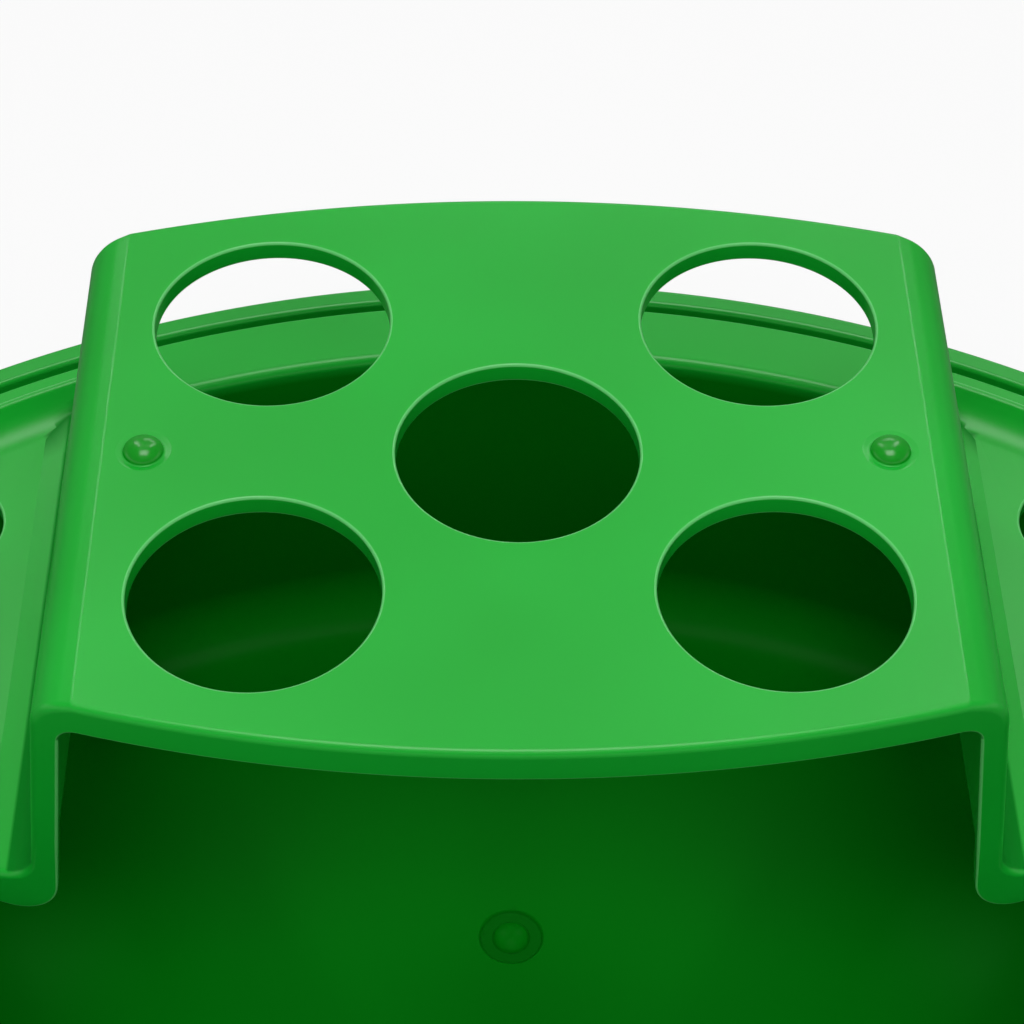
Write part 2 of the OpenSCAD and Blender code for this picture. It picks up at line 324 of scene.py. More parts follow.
# Planting tray: bridge-shaped deck with its side walls, wing plates and a raised border
tray = {
    "ledge": 93,
    "rise": 65,
    "plate": 4.5,
    "middle": 15,
    "depth": 150.6,
    "edgeRadius": 311,
    "halfWidth": 88.8,
    "wall": 4.5,
    "edgeWall": 5.5,
    "lean": 6.5,
    "shoulderRadius": 9,
    "creaseInset": 7.6,
    "creaseTilt": 16,
    "creaseRadius": 2.5,
    "shoulderInner": 4,
    "footRadius": 9.8,
    "footBend": 8,
    "footTilt": 13,
    "footCrease": 0.9,
    "footInner": 12,
    "deckLip": 7.6,
    "wingLip": 9.5,
    "lipThickness": 3.5,
    "topRound": 1.5,
    "lipRound": 0.7,
    "innerRound": 0.7,
    "cupHole": 48,
    "cupX": 49.7,
    "cupY": 36.7,
    "holeRound": 0.6,
    "wingHole": 27,
    "wingHoleX": 125.6,
    "wingHoleY": 35.8,
    "pipX": 73.2,
    "pip": {"diameter": 8, "height": 2.35, "dish": 11, "depth": 0.25, "slope": 1.1},
    "borderHeight": 6,
    "borderSlope": 5.1,
    "borderTop": 1.4,
    "borderEdge": 20.3,
    "coveRadius": 11,
    "rows": 28,
    "deckColumns": 44,
    "wallLevels": np.linspace(145.5, 113, 28),
    "bendSteps": 14,
    "lead": 2,
    "borderOuterRound": 0.7,
    "borderInnerRound": 1.5,
    "borderInside": 8,
    "borderSink": 0.04,
    "wingInBorder": 2.5,
    "wingInBridge": 0.1,
    "wingColumns": 40,
}
plateTop = tray["ledge"] + tray["plate"]
deckTop = tray["ledge"] + tray["rise"]
deckUnder = deckTop - tray["plate"]
borderFoot = tray["borderEdge"] + tray["borderTop"] + tray["borderSlope"]
wingHoleCentre = (tray["wingHoleX"], tray["middle"] + tray["wingHoleY"])

hair = 0.015  # step between faces that would lie in one plane where two shells overlap
cutMargin = 5  # how far a cutting block reaches past what it cuts
roundSteps = 6


# Bowed front edge: a circle whose centre lies behind the deck's middle.
def frontLine(x):
    centre = tray["middle"] + tray["edgeRadius"] - tray["depth"] / 2
    return centre - np.sqrt(tray["edgeRadius"] ** 2 - np.square(x))


# Bowed back edge, the mirror image of the front edge about the deck's middle.
def backLine(x):
    return 2 * tray["middle"] - frontLine(x)


# Where a side wall's line that starts at x on the deck's top lies at height z.
def wallLine(x, z):
    return x + (deckTop - z) * math.tan(math.radians(tray["lean"]))


# The straight part of a side wall. All its lines have points at the same levels.
def wallPoints(x):
    return np.stack([wallLine(x, tray["wallLevels"]), tray["wallLevels"]], 1)


footEnd = wallLine(tray["halfWidth"], plateTop) + tray["footRadius"]
sheetEnd = footEnd + 1


# Half of the upper section, from the deck's middle out. A small bend at the deck's edge leads
# into the rounded shoulder, and one at the foot leads from the hollow to the wing plate. Each
# turns by its tilt.
def upperSection(x, top, bottom):
    shoulderTilt, footTilt = (math.tan(math.radians(tray[k])) for k in ("creaseTilt", "footTilt"))
    lean = math.tan(math.radians(tray["lean"]))
    crease = wallLine(x, top) - tray["creaseInset"]
    across = (wallLine(x, top) - crease) / (1 - shoulderTilt * lean)
    shoulder = (crease + across, top - across * shoulderTilt)
    back = (footEnd - wallLine(x, bottom)) / (1 - footTilt * lean)
    foot = (footEnd - back, bottom + back * footTilt)
    corners = [(0, top), (crease, top), shoulder, foot, (footEnd, bottom), (sheetEnd, bottom)]
    radii = [tray["creaseRadius"], tray["shoulderRadius"], tray["footBend"], tray["footCrease"]]
    line = addCorners(corners, radii, tray["bendSteps"])
    deck = np.linspace(line[0], line[1], tray["deckColumns"], endpoint=False)
    wallStart = 1 + 2 * (tray["bendSteps"] + 1)
    return np.concatenate([deck, line[1:wallStart], wallPoints(x), line[wallStart:]])


# Half of a lower section, with as many points as the upper one: where that has its crease, the
# deck here has a straight lead, and where it has its foot's second bend, the foot runs straight.
def lowerSection(x, top, bottom):
    corners = [(0, top), (wallLine(x, top), top), (wallLine(x, bottom), bottom), (sheetEnd, bottom)]
    line = addCorners(corners, [tray["shoulderInner"], tray["footInner"]], tray["bendSteps"])
    count = tray["bendSteps"] + 1
    shoulder, foot = line[1 : count + 1], line[count + 1 : -1]
    leadStart = shoulder[0] - [tray["lead"], 0]
    deck = np.linspace(line[0], leadStart, tray["deckColumns"], endpoint=False)
    lead = np.linspace(leadStart, shoulder[0], count, endpoint=False)
    straight = np.linspace(foot[-1], line[-1], count + 2)[1:]
    return np.concatenate([deck, lead, shoulder, wallPoints(x), foot, straight])


# The section from the left foot to the right foot: the half and its mirror image.
def wholeSection(half):
    left = half[:0:-1] * [-1, 1]
    return np.concatenate([left, half])


# Quarter-round edge from one face to the next: distances from the two faces, which are radius
# (1 - cos t) and radius (1 - sin t) for t over a right angle.
def quarterRound(radius):
    t = np.linspace(0, math.pi / 2, roundSteps + 1)
    return np.outer(1 - np.cos(t), radius), np.outer(1 - np.sin(t), radius)


# Edge of a sheet, one column for each point of its section. The rows come over the top, round
# down the face, round under the lip, up its back and on to the underside. A row is a place in
# the section and a distance behind the line that the edge follows. The roundings at the lip's
# back shrink where the lip runs out.
def edgeBand(upper, lower, inner, sign, line):
    face = np.linalg.norm(lower - upper, axis=1)[:, None]
    gap = np.linalg.norm(inner - lower, axis=1)[:, None]
    down = (lower - upper) / face
    back = (inner - lower) / np.maximum(gap, 1e-6)
    lip, ones = tray["lipThickness"], np.ones(len(upper))
    rows = []
    fromTop, fromFace = quarterRound(tray["topRound"] * ones)
    rows += [(upper + down * d[:, None], v) for d, v in zip(fromTop, fromFace)]
    fromFace, fromLow = quarterRound(tray["lipRound"] * ones)
    rows += [(lower - down * d[:, None], v) for d, v in zip(fromLow, fromFace)]
    innerRound = np.minimum(tray["innerRound"], 0.45 * gap[:, 0])
    fromLow, fromBack = quarterRound(innerRound)
    rows += [(lower + back * d[:, None], lip - v) for d, v in zip(fromLow, fromBack)]
    fromBack, fromUnder = quarterRound(innerRound)
    rows += [(inner - back * d[:, None], lip + v) for d, v in zip(fromUnder, fromBack)]
    grid = [np.stack([p[:, 0], line(p[:, 0]) + sign * v, p[:, 1]], 1) for p, v in rows]
    return np.array(grid)


# Rows of points that lead straight from one line of points to another.
def spanRows(front, back, rows):
    t = np.linspace(0, 1, rows + 1)[:, None, None]
    return front[None] * (1 - t) + back[None] * t


# Flat middle of the deck with its round holes, and the side walls beside it.
def addSheet(shell, front, back, height, flatColumns, up, holes):
    first, last = flatColumns
    rows = spanRows(front, back, tray["rows"])
    shell.addGrid(rows[:, : first + 1])
    shell.addGrid(rows[:, last:])
    outline = np.concatenate([rows[0, first : last + 1], rows[1:, last],
                              rows[-1, first:last][::-1], rows[1:-1, first][::-1]])
    shell.addFlat(outline, height, up, holes)
    return rows


# Section of a hole with rounded rims: out on the top, down its wall, out underneath.
def holeSection(diameter, top, bottom):
    radius, edge = diameter / 2, tray["holeRound"]
    corners = [(radius + edge, top), (radius, top), (radius, bottom), (radius + edge, bottom)]
    return addCorners(corners, [0.99 * edge, 0.99 * edge], roundSteps)


# Deck and side walls: an edge band in front and at the back, rows of faces between them with
# the cup holes and pips in the flat middle, and one face at the end of each foot.
def addBridge(shell):
    half, lip = tray["halfWidth"], deckTop - tray["deckLip"]
    edgeLine, innerLine = half - tray["edgeWall"], half - tray["wall"]
    upper = wholeSection(upperSection(half, deckTop, plateTop))
    inner = wholeSection(lowerSection(innerLine, deckUnder, tray["ledge"]))
    frontLip = wholeSection(lowerSection(edgeLine, lip, plateTop - tray["wingLip"]))
    backLip = wholeSection(lowerSection(edgeLine, lip, tray["ledge"]))
    front = edgeBand(upper, frontLip, inner, 1, frontLine)
    back = edgeBand(upper, backLip, inner, -1, backLine)
    shell.addGrid(front)
    shell.addGrid(back)
    middle = len(upper) // 2
    flat = (middle - tray["deckColumns"], middle + tray["deckColumns"])
    cups = [(0, 0), (-1, -1), (1, -1), (-1, 1), (1, 1)]
    section = holeSection(tray["cupHole"], deckTop, deckUnder)
    holes = [turnRound(section, (i * tray["cupX"], tray["middle"] + j * tray["cupY"]), 128)
             for i, j in cups]
    dome = domeSection(*tray["pip"].values(), deckTop)
    pips = [turnRound(dome, (side * tray["pipX"], tray["middle"]), 64) for side in (-1, 1)]
    for grid in (*holes, *pips):
        shell.addGrid(grid, closed=True)
    topLoops = [grid[:, 0] for grid in holes] + [grid[:, -1] for grid in pips]
    top = addSheet(shell, front[0], back[0], deckTop, flat, True, topLoops)
    under = addSheet(shell, front[-1], back[-1], deckUnder, flat, False, [g[:, -1] for g in holes])
    for column in (0, -1):
        shell.addPolygon(np.concatenate([front[:, column], under[1:, column],
                                         back[::-1, column], top[1:-1, column][::-1]]))


# Closed line of points that lie one distance inside the rim's outer face.
def ovalAt(distance, height):
    return sweepOval(np.array([[distance, height]]))[:, 0]


# Wing plate: flat top and underside with a rounded hole, a lip along the bowed front edge, and
# a far end that is buried in the border. Points of the far end's line that lie too near the
# plate's corners are left out.
def addWing(shell, side):
    reach, start = borderFoot - tray["wingInBorder"], footEnd - tray["wingInBridge"]
    besideBridge, behindFront = 0.5, 5
    frontEdge = lambda x: frontLine(x) + hair
    high, low = plateTop + hair, tray["ledge"] + hair
    outer = ovalAt(reach, 0)
    outer = outer[(outer[:, 0] > start + besideBridge) &
                  (outer[:, 1] > frontLine(outer[:, 0]) + behindFront)]
    outer = outer[np.argsort(np.arctan2(outer[:, 1], outer[:, 0] - start))]
    farX = cornerAtFront(np.array([reach]), 0)[0, 0]
    x = np.linspace(start, farX, tray["wingColumns"])
    column = lambda z: np.stack([x, np.full(len(x), z)], 1)
    band = edgeBand(column(high), column(plateTop - tray["wingLip"]), column(low), 1, frontEdge)
    backY = np.interp(start, outer[::-1, 0], outer[::-1, 1])
    rest = np.concatenate([outer, [[start, backY, 0]]])
    hole = turnRound(holeSection(tray["wingHole"], high, low), wingHoleCentre)
    levels = [(0, high, True), (-1, low, False)]
    mirror = np.array([side, 1, 1])
    outlines = []
    for row, z, up in levels:
        outline = np.concatenate([band[row], rest * [1, 1, 0] + [0, 0, z]])
        outlines.append(outline)
        shell.addFlat(outline * mirror, z, up, [hole[:, row] * mirror])
    shell.addGrid(band * mirror)
    shell.addGrid(hole * mirror, closed=True)
    topLine, lowLine = (outline[len(x) :] for outline in outlines)
    shell.addGrid(np.array([topLine, lowLine]) * mirror)
    shell.addPolygon(np.concatenate([band[:, -1], lowLine[:1], topLine[:1]]) * mirror)
    shell.addPolygon(np.concatenate([band[:, 0], lowLine[-1:], topLine[-1:]]) * mirror)


# Where lines at the given distances inside the rim meet the tray's front edge moved back by
# inward. The angle on the end arc lies between -0.9 and 0 and is found by halving that range.
def cornerAtFront(distance, inward):
    centres, radii, _ = ovalPath()
    radius = radii[0] - distance
    low, high = np.full(radius.shape, -0.9), np.zeros(radius.shape)
    for _ in range(40):
        angle = (low + high) / 2
        x, y = centres[0, 0] + radius * np.cos(angle), radius * np.sin(angle)
        above = y - frontLine(x) - inward > 0
        low, high = np.where(above, low, angle), np.where(above, angle, high)
    return np.stack([x, y, angle], -1)


# Border that follows the oval from the wing's front edge round past the side wall. Its front
# end is rounded like the wing's edge, by lowering the section's top and drawing in its outer
# face as it nears the end face. From there each point follows its own arc to a line that
# points at the arcs' centre.
def addBorder(shell, side):
    sink, endRound = tray["borderSink"], tray["topRound"]
    turnRows, turnPast = 16, 0.02
    top, low, outer = plateTop + tray["borderHeight"], tray["ledge"], tray["borderEdge"]
    inner = borderFoot + tray["borderInside"]
    corners = [
        ((inner, plateTop - 3 * sink), 0),
        ((borderFoot, plateTop - sink), tray["coveRadius"]),
        ((outer + tray["borderTop"], top), tray["borderInnerRound"]),
        ((outer, top), tray["borderOuterRound"]),
        ((outer, low), tray["borderOuterRound"]),
        ((inner, low), 0),
    ]
    section = addCorners([c[0] for c in corners], [c[1] for c in corners[1:-1]], 8)
    onTop = section[:, 1] > low + 1
    pull = np.stack([(inner - section[:, 0]) / (inner - outer), -1.0 * onTop], 1)
    rows = []
    fromEnd, drawnIn = quarterRound(np.array([endRound]))
    for back, inset in zip(fromEnd[:, 0], drawnIn[:, 0]):
        drawn = section + inset * pull
        place = cornerAtFront(drawn[:, 0], back + sink)
        rows.append(np.stack([place[:, 0], place[:, 1], drawn[:, 1]], 1))
    centres, radii, angles = ovalPath()
    start = cornerAtFront(section[:, 0], endRound + sink)[:, 2]
    common = start.max() + turnPast
    radius = radii[0] - section[:, 0]
    for share in np.linspace(0, 1, turnRows)[1:-1]:
        t = start + (common - start) * share
        x, y = centres[0, 0] + radius * np.cos(t), radius * np.sin(t)
        rows.append(np.stack([x, y, section[:, 1]], 1))
    swept = sweepOval(section)
    order = np.argsort((angles + math.pi) % (2 * math.pi))
    swept, around = swept[order], ((angles + math.pi) % (2 * math.pi) - math.pi)[order]
    keep = (around > common) & (swept[..., 0].min(1) > tray["halfWidth"] - tray["wall"])
    rows = np.concatenate([np.array(rows), swept[keep]]) * [side, 1, 1]
    shell.addGrid(rows.transpose(1, 0, 2), closed=True)
    shell.addPolygon(rows[0])
    shell.addPolygon(rows[-1])


# Low wall that carries a side wall back from the deck's edge, past the border. It starts inside
# the side wall and is cut off afterwards along the border's outer face.
def addStub(shell, side):
    inWall = 4
    top = plateTop + tray["borderHeight"] - hair
    outer = upperSection(tray["halfWidth"] - hair, deckTop, plateTop - hair)
    outer = outer[(outer[:, 1] < top) & (outer[:, 0] > tray["halfWidth"])]
    innerLine = tray["halfWidth"] - tray["wall"] + hair
    inner = lowerSection(innerLine, deckUnder, tray["ledge"] + hair)
    inner = inner[(inner[:, 1] < top) & (inner[:, 0] > innerLine)]
    outerTop = [wallLine(tray["halfWidth"] - hair, top), top]
    innerTop = [wallLine(innerLine, top), top]
    section = np.concatenate([[innerTop, outerTop], outer, inner[::-1]])
    x = section[:, 0]
    ends = [backLine(x) - inWall, np.full(len(x), oval["width"] / 2)]
    rows = np.array([np.stack([x, y, section[:, 1]], 1) for y in ends]) * [side, 1, 1]
    shell.addGrid(rows.transpose(1, 0, 2), closed=True)
    shell.addPolygon(rows[0])
    shell.addPolygon(rows[1])


# Oval block as wide as the border's outer face
def addOvalBlock(shell):
    levels = (tray["ledge"] - cutMargin, plateTop + tray["borderHeight"] + cutMargin)
    grid = sweepOval(np.array([[tray["borderEdge"] + hair, z] for z in levels]))
    shell.addGrid(grid, closed=True)
    shell.addPolygon(grid[:, 0])
    shell.addPolygon(grid[:, 1])


# Space between the side walls, with which the border's back end is cut off flush.
def addInside(shell, side):
    line = lowerSection(tray["halfWidth"] - tray["wall"], deckUnder, tray["ledge"])
    low = tray["ledge"] - 4 * cutMargin
    section = np.concatenate([line, [[sheetEnd, low], [0, low]]])
    rows = np.array([np.insert(section, 1, y, axis=1) for y in (0, oval["width"])]) * [side, 1, 1]
    shell.addGrid(rows.transpose(1, 0, 2), closed=True)
    shell.addPolygon(rows[0])
    shell.addPolygon(rows[1])


# Plug that clears the border's hollow out of a wing plate's hole
def addPlug(shell, side):
    radius = tray["wingHole"] / 2 - hair
    levels = (tray["ledge"] - cutMargin, plateTop + 2 * tray["borderHeight"])
    plug = np.array([[radius, z] for z in levels])
    grid = turnRound(plug, (side * wingHoleCentre[0], wingHoleCentre[1]))
    shell.addGrid(grid, closed=True)
    shell.addPolygon(grid[:, 0])
    shell.addPolygon(grid[:, 1])


# One closed part of the tray, made by its function for a side, with its faces outwards.
def buildPart(add, *side):
    shell = Shell()
    add(shell, *side)
    part = shell.build(add.__name__)
    fixNormals(part)
    return part


# The bridge is joined with each side's wing, border and low wall, and then that wing's hole is
# cleared.
def makeTray():
    parts = []
    for side in (-1, 1):
        stub = buildPart(addStub, side)
        combine(stub, [(buildPart(addOvalBlock), "INTERSECT")])
        border = buildPart(addBorder, side)
        combine(border, [(buildPart(addInside, side), "DIFFERENCE")])
        parts += [(buildPart(addWing, side), "UNION"), (border, "UNION"), (stub, "UNION"),
                  (buildPart(addPlug, side), "DIFFERENCE")]
    shell = Shell()
    addBridge(shell)
    whole = shell.build("plantingTray")
    fixNormals(whole)
    combine(whole, parts)
    return whole


# Boolean join of the whole with each part in turn; the parts are removed.
def combine(whole, parts):
    for part, joint in parts:
        joiner = whole.modifiers.new("join", "BOOLEAN")
        joiner.operation, joiner.solver, joiner.object = joint, "MANIFOLD", part
    bakeModifiers(whole)
    for part, _ in parts:
        bpy.data.objects.remove(part)


# Turns every closed shell's faces outwards.
def fixNormals(piece):
    mesh = bmesh.new()
    mesh.from_mesh(piece.data)
    bmesh.ops.recalc_face_normals(mesh, faces=mesh.faces)
    openEdges = sum(1 for edge in mesh.edges if len(edge.link_faces) != 2)
    mesh.to_mesh(piece.data)
    mesh.free()
    print(piece.name, "faces", len(piece.data.polygons), "open edges", openEdges)


bends = {"edgeBend": (0.7, 1.6), "hollowBend": (0.1, 0.12)}  # where it starts and is full
thinnestFace = 0.05  # millimetres


# Stores how sharply the surface bends at each vertex: outwards as edgeBend, inwards as
# hollowBend, both from 0 to 1. The bend of an edge, in radians per millimetre, is the angle
# between its faces' normals over the distance between their centres across the edge. Beside a
# face thinner than thinnestFace, twice its area over its outline, an edge counts as flat.
def storeBends(piece):
    mesh = piece.data
    points = getAll(mesh.vertices, "co", np.float32, 3)
    ends = getAll(mesh.edges, "vertices", np.int32, 2)
    loopEdge = getAll(mesh.loops, "edge_index", np.int32, 1)[:, 0]
    loopCount = getAll(mesh.polygons, "loop_total", np.int32, 1)[:, 0]
    normal, centre = (getAll(mesh.polygons, name, np.float32, 3) for name in ("normal", "center"))
    face = np.repeat(np.arange(len(loopCount)), loopCount)
    order = np.argsort(loopEdge, kind="stable")
    first, second = face[order[0::2]], face[order[1::2]]
    along = points[ends[:, 1]] - points[ends[:, 0]]
    along /= np.maximum(np.linalg.norm(along, axis=1, keepdims=True), 1e-9)
    across = centre[second] - centre[first]
    across -= along * np.sum(across * along, axis=1, keepdims=True)
    spread = normal[second] - normal[first]
    distance = np.linalg.norm(across, axis=1) / millimetre
    edgeLength = np.linalg.norm(points[ends[:, 1]] - points[ends[:, 0]], axis=1)
    outline = np.bincount(face, edgeLength[loopEdge])
    thickness = 2 * getAll(mesh.polygons, "area", np.float32, 1)[:, 0] / outline / millimetre
    distance[np.minimum(thickness[first], thickness[second]) < thinnestFace] = np.inf
    outward = np.sum(spread * across, axis=1) > 0
    bend = np.linalg.norm(spread, axis=1) / distance
    for name, chosen in (("edgeBend", outward), ("hollowBend", ~outward)):
        start, full = bends[name]
        strength = np.zeros(len(points))
        for column in (0, 1):
            np.maximum.at(strength, ends[:, column], np.where(chosen, bend, 0))
        strength = np.clip((strength - start) / (full - start), 0, 1)
        layer = mesh.attributes.new(name, "FLOAT", "POINT")
        layer.data.foreach_set("value", strength.astype(np.float32))


# Marks the vertices between two distances from the nearer of two mirrored centres and above a height as
# paintedShadeMark, the places that get painted shade: the pips, or the dish round the boss.
def storeMark(piece, centre, distances, height):
    points = getAll(piece.data.vertices, "co", np.float32, 3) / millimetre
    away = np.hypot(abs(points[:, 0]) - centre[0], points[:, 1] - centre[1])
    marked = (away >= distances[0]) & (away <= distances[1]) & (points[:, 2] > height)
    print("painted shade mark", marked.sum(), "points")
    layer = piece.data.attributes.new("paintedShadeMark", "FLOAT", "POINT")
    layer.data.foreach_set("value", marked.astype(np.float32))


# One property of all vertices, edges or faces, as a row of values each
def getAll(source, name, kind, width):
    values = np.empty(len(source) * width, kind)
    source.foreach_get(name, values)
    return values.reshape(-1, width)


# sRGB hex value to linear red, green, blue and alpha.
def linear(hexColour):
    channels = [int(hexColour[i : i + 2], 16) / 255 for i in (1, 3, 5)]
    return [c / 12.92 if c <= 0.04045 else ((c + 0.055) / 1.055) ** 2.4 for c in channels] + [1]


# Adds a node, sets its properties, and sets or links its inputs. An input given as a node is
# linked to that node's first output.
def addNode(tree, kind, inputs=None, **settings):
    node = tree.nodes.new(kind)
    for name, value in settings.items():
        setattr(node, name, value)
    for name, value in (inputs or {}).items():
        if isinstance(value, bpy.types.Node):
            value = value.outputs[0]
        if isinstance(value, bpy.types.NodeSocket):
            tree.links.new(value, node.inputs[name])
        else:
            node.inputs[name].default_value = value
    return node


# An empty material and its node tree
def newMaterial(name):
    made = bpy.data.materials.new(name)
    made.use_nodes = True
    made.node_tree.nodes.clear()
    return made, made.node_tree


# Injection-moulded polypropylene: a glossy, slightly wavy skin over a deep green body. Outward edges get
# a painted highlight, a paler tint by how sharply they bend, and on the tray hollows get painted shade, a
# darker tint, and duller gloss. The pips and the dish round the basin's boss are painted darker, as
# painted shade. A tint is an attribute, its greatest share and its colour. Under a roughness of about
# 0.28 a denoised render draws faint lines on broad faces, so only the pips go lower. Sizes and depths are
# in millimetres.
polypropylene = {
    "pot": {
        "dark": "#0a9524",
        "light": "#0ea42c",
        # painted highlight on outward edges
        "paintedLightTints": [("edgeBend", 0.15, "#8fe09a")],
        "gloss": 0.4,
        "roughness": (0.285, 0.33),
        "scatter": 0,
    },
    "basin": {
        "dark": "#0b9c26",
        "light": "#10ab2f",
        # painted highlight on outward edges
        "paintedLightTints": [("edgeBend", 0.15, "#8fe09a")],
        "gloss": 0.35,
        "roughness": (0.285, 0.34),
        "scatter": 0,
        "inside": {"colour": "#02790e", "gloss": 0.02, "bottom": 88.5, "top": 91.5},
        # painted shade in the dish round the boss
        "paintedShadeTint": (0.35, "#013f06"),
    },
    "tray": {
        "dark": "#0b9c26",
        "light": "#10ab2f",
        # painted highlight on outward edges and painted shade in hollows
        "paintedLightTints": [("edgeBend", 0.35, "#8fe09a"), ("hollowBend", 0.85, "#04701a")],
        "gloss": 0.42,
        "hollowGloss": 0.063,
        "roughness": (0.285, 0.34),
        "scatter": 0.15,
        # painted shade on the pips, which are also less rough
        "paintedShadeTint": (0.9, "#038812"),
        "pipRoughness": 0.22,
    },
    "refraction": 1.49,
    "scatterReach": 3,
    "scatterColours": (0.3, 1.0, 0.35),
    "cloudSize": 60,
    "sheenSize": 24,
    "wave": {"size": 12, "detail": 1, "strength": 0.3, "depth": 0.1},
    "grain": {"size": 0.6, "detail": 2, "strength": 0.15, "depth": 0.01},
}


# Mixes a tint over the colour. Its share is the mesh attribute's strength, from 0 to 1, times
# the share that the tint has at full strength.
def addTint(tree, colour, attribute, share, tint):
    strength = addNode(tree, "ShaderNodeAttribute", attribute_name=attribute).outputs["Fac"]
    part = addNode(tree, "ShaderNodeMath", {0: strength, 1: share}, operation="MULTIPLY")
    colours = {"Factor": part, 6: colour, 7: linear(tint)}
    return addNode(tree, "ShaderNodeMix", colours, data_type="RGBA").outputs[2]


# Object coordinates are metres, so a pattern of a size in millimetres has the scale one over
# that size in metres. The real grain of a mould is too fine to show and is drawn 0.6 mm coarse.
# The basin is darker and duller inside, below its rolled edge, where the object shades itself.
def makePolypropylene(kind):
    look = polypropylene[kind]
    material, tree = newMaterial("green polypropylene " + kind)
    place = addNode(tree, "ShaderNodeTexCoord").outputs["Object"]
    cloud = addNode(tree, "ShaderNodeTexNoise", {
        "Vector": place, "Scale": 1 / (polypropylene["cloudSize"] * millimetre), "Detail": 2})
    shade = addNode(tree, "ShaderNodeMapRange", {"Value": cloud, "From Min": 0.2, "From Max": 0.8})
    colours = {"Factor": shade, 6: linear(look["dark"]), 7: linear(look["light"])}
    colour = addNode(tree, "ShaderNodeMix", colours, data_type="RGBA").outputs[2]
    # Painted highlight on outward edges, and on the tray painted shade in hollows.
    for tint in look["paintedLightTints"]:
        colour = addTint(tree, colour, *tint)
    gloss = look["gloss"]
    if "inside" in look:
        inside = look["inside"]
        height = addNode(tree, "ShaderNodeSeparateXYZ", {"Vector": place}).outputs["Z"]
        above = addNode(tree, "ShaderNodeMapRange", {
            "Value": height, "From Min": inside["bottom"] * millimetre,
            "From Max": inside["top"] * millimetre})
        gloss = addNode(tree, "ShaderNodeMapRange", {
            "Value": above, "To Min": inside["gloss"], "To Max": look["gloss"]})
        colours = {"Factor": above, 6: linear(inside["colour"]), 7: colour}
        colour = addNode(tree, "ShaderNodeMix", colours, data_type="RGBA").outputs[2]
    if "hollowGloss" in look:
        hollow = addNode(tree, "ShaderNodeAttribute", attribute_name="hollowBend").outputs["Fac"]
        gloss = addNode(tree, "ShaderNodeMapRange", {
            "Value": hollow, "To Min": look["gloss"], "To Max": look["hollowGloss"]})
    # Painted shade on the marked pips or dish.
    if "paintedShadeTint" in look:
        colour = addTint(tree, colour, "paintedShadeMark", *look["paintedShadeTint"])
    sheen = addNode(tree, "ShaderNodeTexNoise", {
        "Vector": place, "Scale": 1 / (polypropylene["sheenSize"] * millimetre), "Detail": 3})
    smooth, rough = look["roughness"]
    roughness = addNode(tree, "ShaderNodeMapRange", {"Value": sheen, "To Min": smooth, "To Max": rough})
    if "pipRoughness" in look:
        mark = addNode(tree, "ShaderNodeAttribute", attribute_name="paintedShadeMark").outputs["Fac"]
        roughness = addNode(tree, "ShaderNodeMapRange", {
            "Value": mark, "To Min": roughness, "To Max": look["pipRoughness"]})
    relief = {}
    for layer in (polypropylene["wave"], polypropylene["grain"]):
        height = addNode(tree, "ShaderNodeTexNoise", {
            "Vector": place, "Scale": 1 / (layer["size"] * millimetre), "Detail": layer["detail"]})
        relief = {"Normal": addNode(tree, "ShaderNodeBump", {
            "Height": height, "Strength": layer["strength"], "Distance": layer["depth"] * millimetre,
            **relief})}
    plastic = addNode(tree, "ShaderNodeBsdfPrincipled", {
        "Base Color": colour, "Roughness": roughness, "IOR": polypropylene["refraction"],
        "Specular IOR Level": gloss, "Subsurface Weight": look["scatter"],
        "Subsurface Radius": polypropylene["scatterColours"],
        "Subsurface Scale": polypropylene["scatterReach"] * millimetre, **relief})
    addNode(tree, "ShaderNodeOutputMaterial", {"Surface": plastic})
    return material


# Pale studio floor. The camera sees it near white, with the object's soft shadow near by and
# plain glow far away, and the object reflects it darker. Lengths are in metres.
floorLook = {
    "size": 6,
    "seen": "#f2f2f2",
    "reflected": "#777777",
    "glow": 1.0,
    "nearShare": 0.75,
    "near": 0.35,
    "far": 1.1,
}


# One flat face. The glow's share of what the camera sees grows smoothly with the distance from
# the object.
def makeFloor():
    size = floorLook["size"]
    mesh = bpy.data.meshes.new("floor")
    corners = [(-size, -size, 0), (size, -size, 0), (size, size, 0), (-size, size, 0)]
    mesh.from_pydata(corners, [], [(0, 1, 2, 3)])
    floor = bpy.data.objects.new("floor", mesh)
    bpy.context.scene.collection.objects.link(floor)
    material, tree = newMaterial("pale floor")
    seen = addNode(tree, "ShaderNodeLightPath").outputs["Is Camera Ray"]
    colours = {"Factor": seen, 6: linear(floorLook["reflected"]), 7: linear(floorLook["seen"])}
    colour = addNode(tree, "ShaderNodeMix", colours, data_type="RGBA").outputs[2]
    paint = addNode(tree, "ShaderNodeBsdfDiffuse", {"Color": colour})
    glow = addNode(tree, "ShaderNodeEmission", {"Color": (1, 1, 1, 1), "Strength": floorLook["glow"]})
    place = addNode(tree, "ShaderNodeTexCoord").outputs["Object"]
    away = addNode(tree, "ShaderNodeVectorMath", {0: place}, operation="LENGTH").outputs["Value"]
    glowing = addNode(tree, "ShaderNodeMapRange", {
        "Value": away, "From Min": floorLook["near"], "From Max": floorLook["far"],
        "To Min": floorLook["nearShare"]}, interpolation_type="SMOOTHSTEP")
    share = addNode(tree, "ShaderNodeMath", {0: seen, 1: glowing}, operation="MULTIPLY")
    mixed = addNode(tree, "ShaderNodeMixShader", {0: share, 1: paint, 2: glow})
    addNode(tree, "ShaderNodeOutputMaterial", {"Surface": mixed})
    mesh.materials.append(material)


